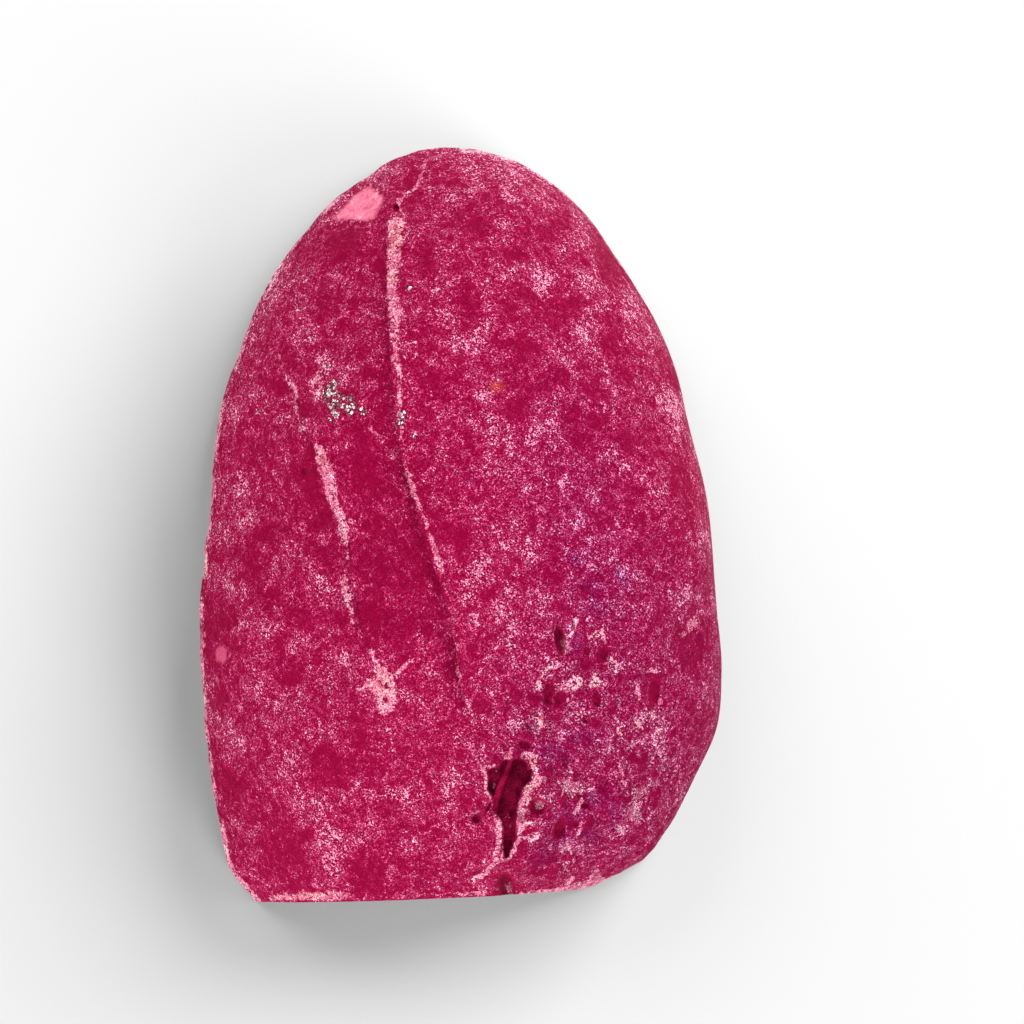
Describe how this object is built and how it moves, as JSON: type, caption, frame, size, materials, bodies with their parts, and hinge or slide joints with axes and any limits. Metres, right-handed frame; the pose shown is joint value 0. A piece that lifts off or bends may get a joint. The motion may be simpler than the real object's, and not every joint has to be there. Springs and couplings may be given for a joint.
{
  "type": "agate specimen",
  "caption": "Half of a dyed agate nodule with a sawn face and a sawn base, for display; knobbly crimson rind with cracks, pits and a cavity.",
  "frame": {"origin": "centre of the bounding box, on the plane of the sawn main face that the stone lies on", "axes": "+Z out of the sawn face towards the crown of the rind; +Y along the stone's long axis from the sawn base to the narrow end; +X to the right when the rind is seen from above with the narrow end up"},
  "size_m": [0.0834, 0.1206, 0.0403],
  "materials": {
    "dyed_rind": "dyed agate rind: matt crimson with pale pink frosting, cream seams and dark specks"
  },
  "bodies": {
    "root": {"agate_stone": "dyed_rind"}
  },
  "joints": []
}
